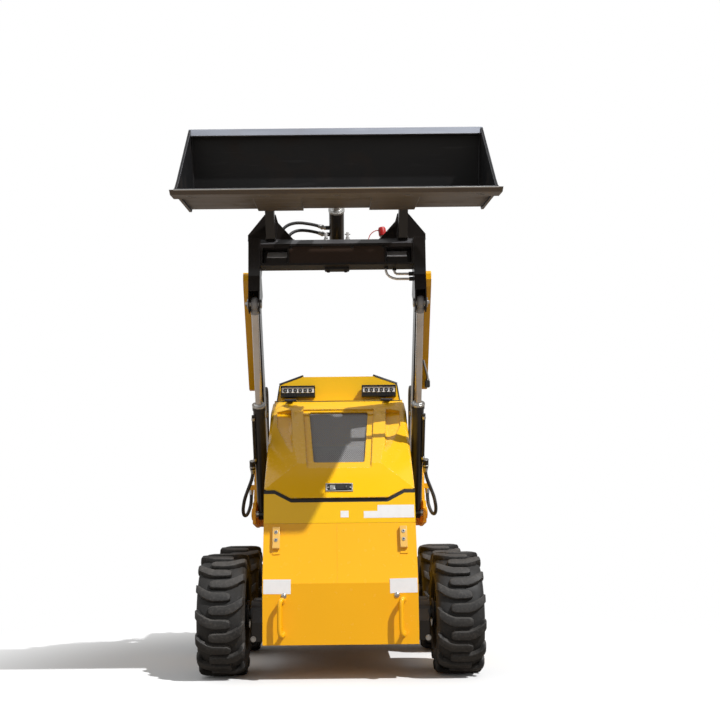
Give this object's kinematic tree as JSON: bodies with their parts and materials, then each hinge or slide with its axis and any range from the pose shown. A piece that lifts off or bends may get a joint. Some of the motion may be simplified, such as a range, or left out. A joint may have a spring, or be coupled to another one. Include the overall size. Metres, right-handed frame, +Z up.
{
  "type": "stand-on mini loader",
  "caption": "Stand-on wheeled mini loader with a raised radial lift arm, bucket, hinged hood, operator console and rear platform.",
  "frame": {"origin": "centre of the footprint of the whole machine's box, on the ground", "axes": "-Y is the machine's front, +X its left-to-right across seen from the front, +Z up"},
  "size_m": [1.226, 2.1548, 2.24],
  "materials": {
    "yellow": "semi-gloss enamel",
    "black_steel": "satin black paint",
    "worn_steel": "worn and dirty",
    "rubber_black": "matt",
    "zinc": "zinc plated",
    "rod_chrome": "polished",
    "lamp": "black housing, clear lens",
    "tyre": "matt, dusty"
  },
  "bodies": {
    "machine": {"side_frames": "yellow", "belly_frame": "yellow", "tower_plates": "yellow", "pivot_pins": "zinc", "front_plate": "yellow", "tie_handles": "yellow", "lower_cowl": "yellow", "hood_seal": "rubber_black", "engine_block": "black_steel", "rear_shroud": "yellow", "console": "yellow", "control_levers": "rubber_black", "grab_rails": "black_steel", "work_lamps": "lamp", "thigh_pad": "rubber_black", "platform": "black_steel", "wheel_motors": "black_steel", "lift_hoses": "rubber_black", "pivot_hoses": "rubber_black"},
    "lift_arm": {"booms": "black_steel", "cross_beam": "black_steel", "bucket_brackets": "black_steel", "hose_guards": "yellow", "couplers": "zinc", "arm_hoses": "rubber_black"},
    "bucket": {"attach_plate": "black_steel", "bucket_shell": "worn_steel", "cutting_edge": "worn_steel"},
    "lift_barrel_l": {"lift_barrel_left": "black_steel", "barrel_line_left": "zinc"},
    "lift_barrel_r": {"lift_barrel_right": "black_steel", "barrel_line_right": "zinc"},
    "lift_rod_l": {"lift_rod_left": "rod_chrome"},
    "lift_rod_r": {"lift_rod_right": "rod_chrome"},
    "tilt_cylinder": {"tilt_barrel": "black_steel"},
    "tilt_piston": {"tilt_rod": "rod_chrome"},
    "hood": {"hood_shell": "yellow", "hood_grille": "black_steel", "hood_latch": "zinc"},
    "wheel_fl": {"tyre_fl": "tyre", "rim_fl": "black_steel"},
    "wheel_fr": {"tyre_fr": "tyre", "rim_fr": "black_steel"},
    "wheel_rl": {"tyre_rl": "tyre", "rim_rl": "black_steel"},
    "wheel_rr": {"tyre_rr": "tyre", "rim_rr": "black_steel"}
  },
  "joints": [
    {"name": "lift", "type": "hinge", "parent": "machine", "child": "lift_arm", "pos_m": [0, 0.3275, 0.9], "axis": [-1, 0, 0], "range_deg": [-88, 0]},
    {"name": "bucket_tilt", "type": "hinge", "parent": "lift_arm", "child": "bucket", "pos_m": [0, -0.4725, 2.03], "axis": [-1, 0, 0], "range_deg": [-34, 100]},
    {"name": "lift_barrel_swing_l", "type": "hinge", "parent": "machine", "child": "lift_barrel_l", "pos_m": [0, 0.1775, 0.669], "axis": [-1, 0, 0], "range_deg": [-98, 0]},
    {"name": "lift_rod_slide_l", "type": "slide", "parent": "lift_barrel_l", "child": "lift_rod_l", "axis": [0, -0.5113, 0.8594], "range_m": [-0.355, 0]},
    {"name": "lift_barrel_swing_r", "type": "hinge", "parent": "machine", "child": "lift_barrel_r", "pos_m": [0, 0.1775, 0.669], "axis": [-1, 0, 0], "range_deg": [-98, 0]},
    {"name": "lift_rod_slide_r", "type": "slide", "parent": "lift_barrel_r", "child": "lift_rod_r", "axis": [0, -0.5113, 0.8594], "range_m": [-0.355, 0]},
    {"name": "tilt_barrel_swing", "type": "hinge", "parent": "lift_arm", "child": "tilt_cylinder", "pos_m": [0, -0.0725, 1.8], "axis": [-1, 0, 0], "range_deg": [-2.1, 0.8]},
    {"name": "tilt_rod_slide", "type": "slide", "parent": "tilt_cylinder", "child": "tilt_piston", "axis": [0, -0.7509, 0.6604], "range_m": [-0.161, 0.055]},
    {"name": "hood_hinge", "type": "hinge", "parent": "machine", "child": "hood", "pos_m": [0, 0.2375, 1.204], "axis": [-1, 0, 0], "range_deg": [0, 60]},
    {"name": "wheel_fl_spin", "type": "hinge", "parent": "machine", "child": "wheel_fl", "pos_m": [-0.494, -0.2025, 0.254], "axis": [1, 0, 0], "continuous": true},
    {"name": "wheel_fr_spin", "type": "hinge", "parent": "machine", "child": "wheel_fr", "pos_m": [0.494, -0.2025, 0.254], "axis": [1, 0, 0], "continuous": true},
    {"name": "wheel_rl_spin", "type": "hinge", "parent": "machine", "child": "wheel_rl", "pos_m": [-0.494, 0.5475, 0.254], "axis": [1, 0, 0], "continuous": true},
    {"name": "wheel_rr_spin", "type": "hinge", "parent": "machine", "child": "wheel_rr", "pos_m": [0.494, 0.5475, 0.254], "axis": [1, 0, 0], "continuous": true}
  ],
  "couplings": [
    {"joint": "lift_barrel_swing_l", "follows": "lift", "ratio": 1.11},
    {"joint": "lift_rod_slide_l", "follows": "lift", "m_per_rad": 0.23086},
    {"joint": "lift_barrel_swing_r", "follows": "lift", "ratio": 1.11},
    {"joint": "lift_rod_slide_r", "follows": "lift", "m_per_rad": 0.23086},
    {"joint": "tilt_barrel_swing", "follows": "bucket_tilt", "ratio": -0.02},
    {"joint": "tilt_rod_slide", "follows": "bucket_tilt", "m_per_rad": -0.0917}
  ]
}
